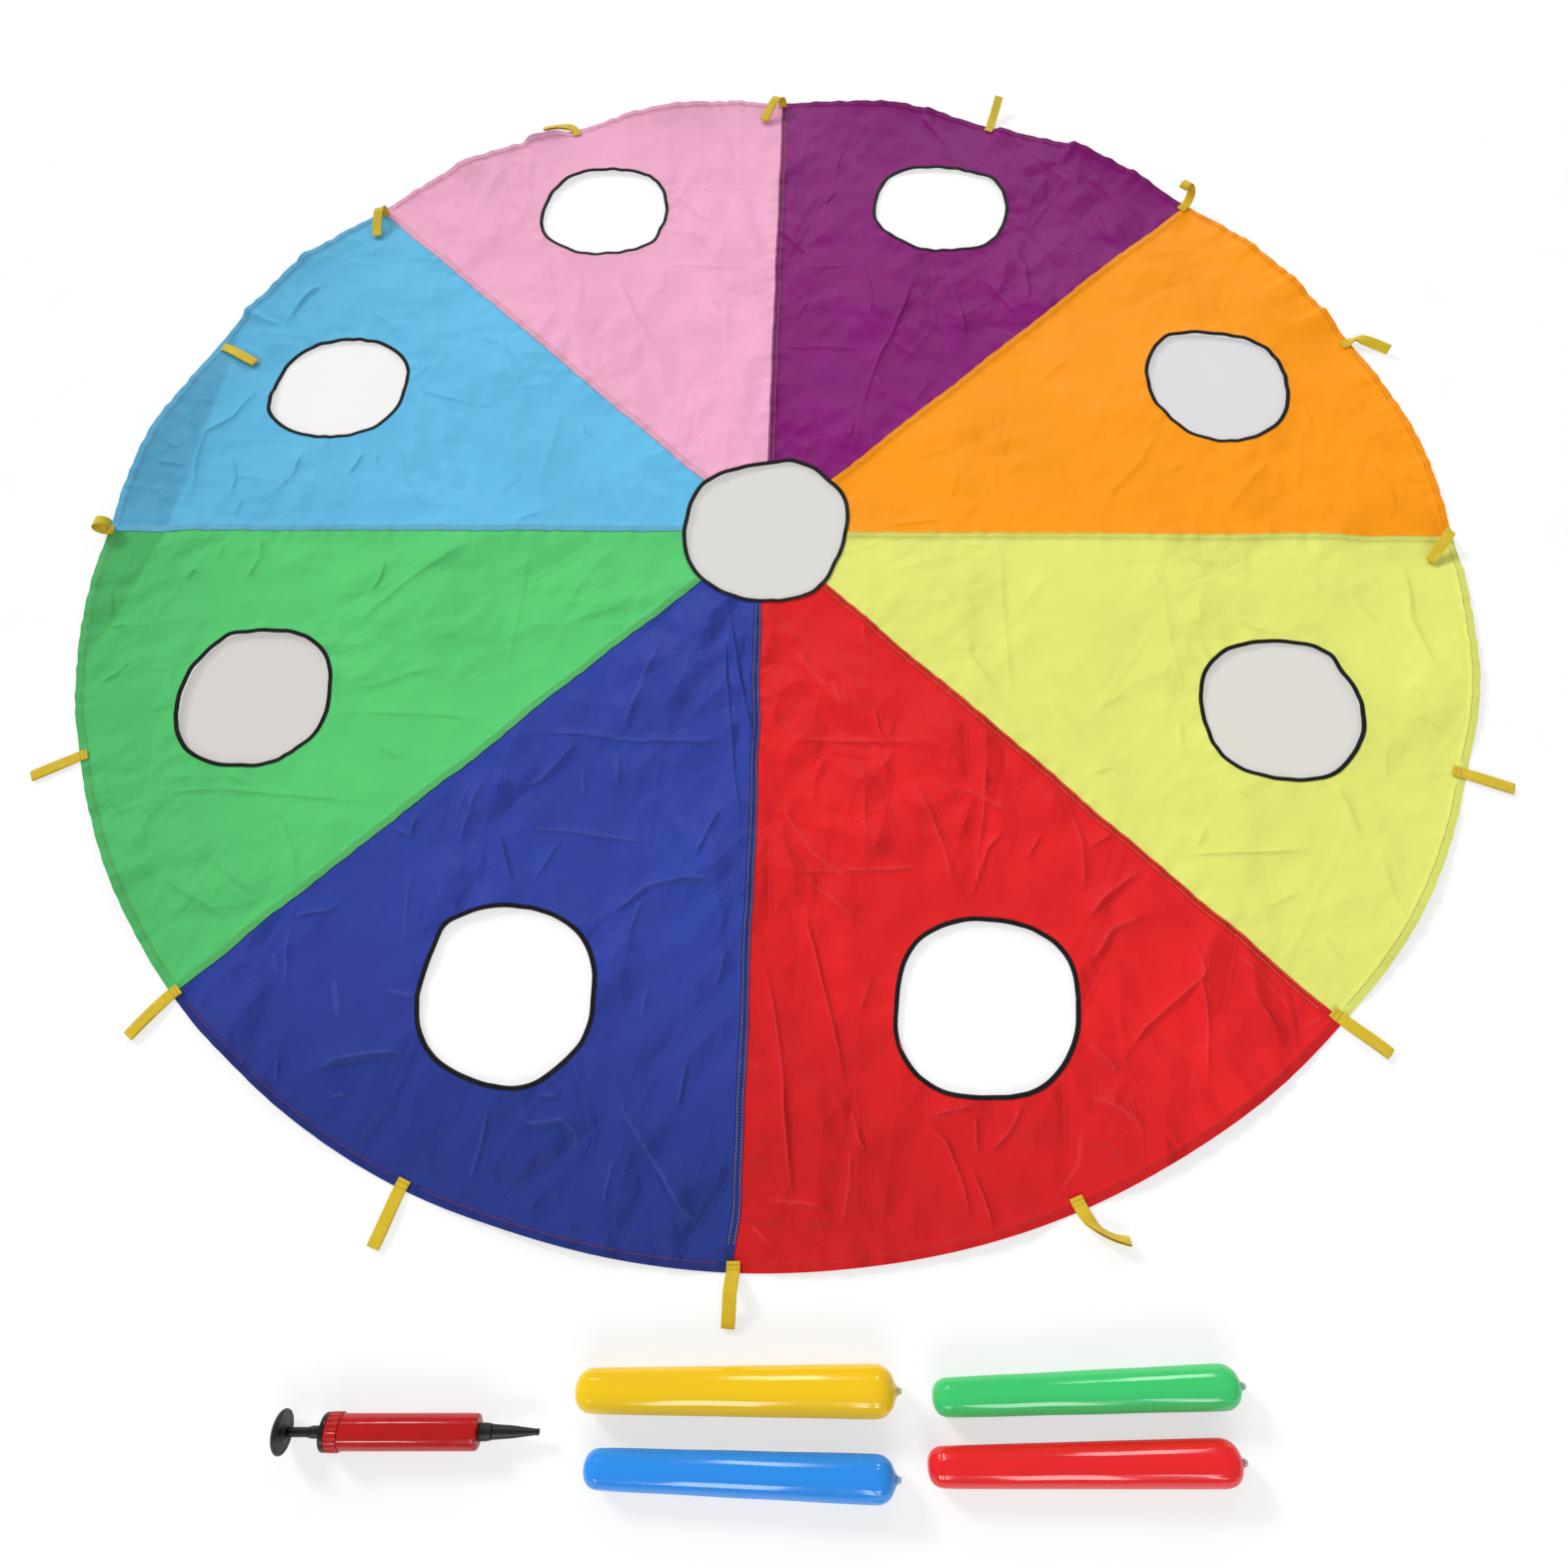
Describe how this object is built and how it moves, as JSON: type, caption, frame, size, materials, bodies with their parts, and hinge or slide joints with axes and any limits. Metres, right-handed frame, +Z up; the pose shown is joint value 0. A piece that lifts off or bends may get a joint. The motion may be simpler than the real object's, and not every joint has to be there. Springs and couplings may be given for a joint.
{
  "type": "play parachute",
  "caption": "Round rainbow play parachute laid flat, with bound head openings, a centre opening and webbing hand loops, plus inflatable bats and a hand pump.",
  "frame": {"origin": "middle of the laid-out set's base, on the floor", "axes": "+Z up from the floor; +Y from the bats and pump across the canopy to its far rim; +X along the bats, from the pump's side to their valves"},
  "size_m": [2.415, 2.6465, 0.0601],
  "materials": {
    "orange": "creased taffeta with a slight sheen",
    "purple": "creased taffeta with a slight sheen",
    "pink": "creased taffeta with a slight sheen",
    "sky": "creased taffeta with a slight sheen",
    "green": "creased taffeta with a slight sheen",
    "royal": "creased taffeta with a slight sheen",
    "red": "creased taffeta with a slight sheen",
    "lime": "creased taffeta with a slight sheen",
    "tape_black": "matte woven tape",
    "webbing_yellow": "woven webbing",
    "bat_yellow": "glossy inflatable film",
    "bat_green": "glossy inflatable film",
    "bat_blue": "glossy inflatable film",
    "bat_red": "glossy inflatable film",
    "valve_clear": "clear soft plastic",
    "pump_black": "satin moulded",
    "pump_red": "translucent, glossy",
    "seal_black": "matte"
  },
  "bodies": {
    "canopy": {"centre_hole_binding": "tape_black", "head_hole_binding_green": "tape_black", "head_hole_binding_lime": "tape_black", "head_hole_binding_orange": "tape_black", "head_hole_binding_pink": "tape_black", "head_hole_binding_purple": "tape_black", "head_hole_binding_red": "tape_black", "head_hole_binding_royal": "tape_black", "head_hole_binding_sky": "tape_black", "panel_green": "green", "panel_lime": "lime", "panel_orange": "orange", "panel_pink": "pink", "panel_purple": "purple", "panel_red": "red", "panel_royal": "royal", "panel_sky": "sky"},
    "handle_01": {"handle_01": "webbing_yellow"},
    "handle_02": {"handle_02": "webbing_yellow"},
    "handle_03": {"handle_03": "webbing_yellow"},
    "handle_04": {"handle_04": "webbing_yellow"},
    "handle_05": {"handle_05": "webbing_yellow"},
    "handle_06": {"handle_06": "webbing_yellow"},
    "handle_07": {"handle_07": "webbing_yellow"},
    "handle_08": {"handle_08": "webbing_yellow"},
    "handle_09": {"handle_09": "webbing_yellow"},
    "handle_10": {"handle_10": "webbing_yellow"},
    "handle_11": {"handle_11": "webbing_yellow"},
    "handle_12": {"handle_12": "webbing_yellow"},
    "handle_13": {"handle_13": "webbing_yellow"},
    "handle_14": {"handle_14": "webbing_yellow"},
    "handle_15": {"handle_15": "webbing_yellow"},
    "handle_16": {"handle_16": "webbing_yellow"},
    "pump": {"pump_barrel": "pump_red", "pump_collar": "pump_red", "pump_nozzle": "pump_black", "pump_nozzle_base": "pump_black", "pump_rear_cap": "pump_black", "pump_valve_disc": "seal_black"},
    "plunger": {"pump_knob": "pump_black", "pump_rod": "pump_black", "pump_piston": "pump_black", "pump_piston_seal": "seal_black"},
    "bat_yellow": {"bat_yellow": "bat_yellow", "bat_yellow_valve_stem": "valve_clear"},
    "bat_yellow_plug": {"bat_yellow_valve_plug": "valve_clear"},
    "bat_green": {"bat_green": "bat_green", "bat_green_valve_stem": "valve_clear"},
    "bat_green_plug": {"bat_green_valve_plug": "valve_clear"},
    "bat_blue": {"bat_blue": "bat_blue", "bat_blue_valve_stem": "valve_clear"},
    "bat_blue_plug": {"bat_blue_valve_plug": "valve_clear"},
    "bat_red": {"bat_red": "bat_red", "bat_red_valve_stem": "valve_clear"},
    "bat_red_plug": {"bat_red_valve_plug": "valve_clear"}
  },
  "joints": [
    {"name": "handle_01_hinge", "type": "hinge", "parent": "canopy", "child": "handle_01", "pos_m": [1.193, 0.1242, 0.0036], "axis": [0, 1, 0], "range_deg": [0, 70]},
    {"name": "handle_02_hinge", "type": "hinge", "parent": "canopy", "child": "handle_02", "pos_m": [1.10265, 0.57844, 0.0033], "axis": [0.3827, -0.9239, 0], "range_deg": [0, 150]},
    {"name": "handle_03_hinge", "type": "hinge", "parent": "canopy", "child": "handle_03", "pos_m": [0.84534, 0.96354, 0.0036], "axis": [0.7071, -0.7071, 0], "range_deg": [0, 90]},
    {"name": "handle_04_hinge", "type": "hinge", "parent": "canopy", "child": "handle_04", "pos_m": [0.46025, 1.22084, 0.0033], "axis": [0.9239, -0.3827, 0], "range_deg": [0, 160]},
    {"name": "handle_05_hinge", "type": "hinge", "parent": "canopy", "child": "handle_05", "pos_m": [0.006, 1.3112, 0.0036], "axis": [-1, 0, 0], "range_deg": [0, 75]},
    {"name": "handle_06_hinge", "type": "hinge", "parent": "canopy", "child": "handle_06", "pos_m": [-0.44825, 1.22084, 0.0033], "axis": [0.9239, 0.3827, 0], "range_deg": [0, 160]},
    {"name": "handle_07_hinge", "type": "hinge", "parent": "canopy", "child": "handle_07", "pos_m": [-0.83334, 0.96354, 0.0036], "axis": [-0.7071, -0.7071, 0], "range_deg": [0, 70]},
    {"name": "handle_08_hinge", "type": "hinge", "parent": "canopy", "child": "handle_08", "pos_m": [-1.09065, 0.57844, 0.0033], "axis": [-0.3827, -0.9239, 0], "range_deg": [0, 170]},
    {"name": "handle_09_hinge", "type": "hinge", "parent": "canopy", "child": "handle_09", "pos_m": [-1.181, 0.1242, 0.0036], "axis": [0, 1, 0], "range_deg": [0, 80]},
    {"name": "handle_10_hinge", "type": "hinge", "parent": "canopy", "child": "handle_10", "pos_m": [-1.09065, -0.33004, 0.0033], "axis": [-0.3827, 0.9239, 0], "range_deg": [0, 170]},
    {"name": "handle_11_hinge", "type": "hinge", "parent": "canopy", "child": "handle_11", "pos_m": [-0.83334, -0.71514, 0.0036], "axis": [-0.7071, 0.7071, 0], "range_deg": [0, 170]},
    {"name": "handle_12_hinge", "type": "hinge", "parent": "canopy", "child": "handle_12", "pos_m": [-0.44825, -0.97245, 0.0033], "axis": [-0.9239, 0.3827, 0], "range_deg": [0, 170]},
    {"name": "handle_13_hinge", "type": "hinge", "parent": "canopy", "child": "handle_13", "pos_m": [0.006, -1.0628, 0.0036], "axis": [-1, 0, 0], "range_deg": [0, 140]},
    {"name": "handle_14_hinge", "type": "hinge", "parent": "canopy", "child": "handle_14", "pos_m": [0.46025, -0.97245, 0.0033], "axis": [-0.9239, -0.3827, 0], "range_deg": [0, 160]},
    {"name": "handle_15_hinge", "type": "hinge", "parent": "canopy", "child": "handle_15", "pos_m": [0.84534, -0.71514, 0.0036], "axis": [-0.7071, -0.7071, 0], "range_deg": [0, 170]},
    {"name": "handle_16_hinge", "type": "hinge", "parent": "canopy", "child": "handle_16", "pos_m": [1.10265, -0.33004, 0.0033], "axis": [-0.3827, -0.9239, 0], "range_deg": [0, 170]},
    {"name": "pump_lift", "type": "slide", "parent": "canopy", "child": "pump", "axis": [0, 0, 1], "range_m": [0, 0.25]},
    {"name": "plunger_slide", "type": "slide", "parent": "pump", "child": "plunger", "axis": [-0.9994, -0.0279, 0.0227], "range_m": [-0.007, 0.145]},
    {"name": "bat_yellow_lift", "type": "slide", "parent": "canopy", "child": "bat_yellow", "axis": [0, 0, 1], "range_m": [0, 0.25]},
    {"name": "bat_yellow_plug_pull", "type": "slide", "parent": "bat_yellow", "child": "bat_yellow_plug", "axis": [0.9995, 0.0279, 0.0135], "range_m": [0, 0.01]},
    {"name": "bat_green_lift", "type": "slide", "parent": "canopy", "child": "bat_green", "axis": [0, 0, 1], "range_m": [0, 0.25]},
    {"name": "bat_green_plug_pull", "type": "slide", "parent": "bat_green", "child": "bat_green_plug", "axis": [0.998, 0.0628, 0.012], "range_m": [0, 0.01]},
    {"name": "bat_blue_lift", "type": "slide", "parent": "canopy", "child": "bat_blue", "axis": [0, 0, 1], "range_m": [0, 0.25]},
    {"name": "bat_blue_plug_pull", "type": "slide", "parent": "bat_blue", "child": "bat_blue_plug", "axis": [0.9999, 0, 0.0123], "range_m": [0, 0.01]},
    {"name": "bat_red_lift", "type": "slide", "parent": "canopy", "child": "bat_red", "axis": [0, 0, 1], "range_m": [0, 0.25]},
    {"name": "bat_red_plug_pull", "type": "slide", "parent": "bat_red", "child": "bat_red_plug", "axis": [0.999, 0.0436, 0.0124], "range_m": [0, 0.01]}
  ]
}
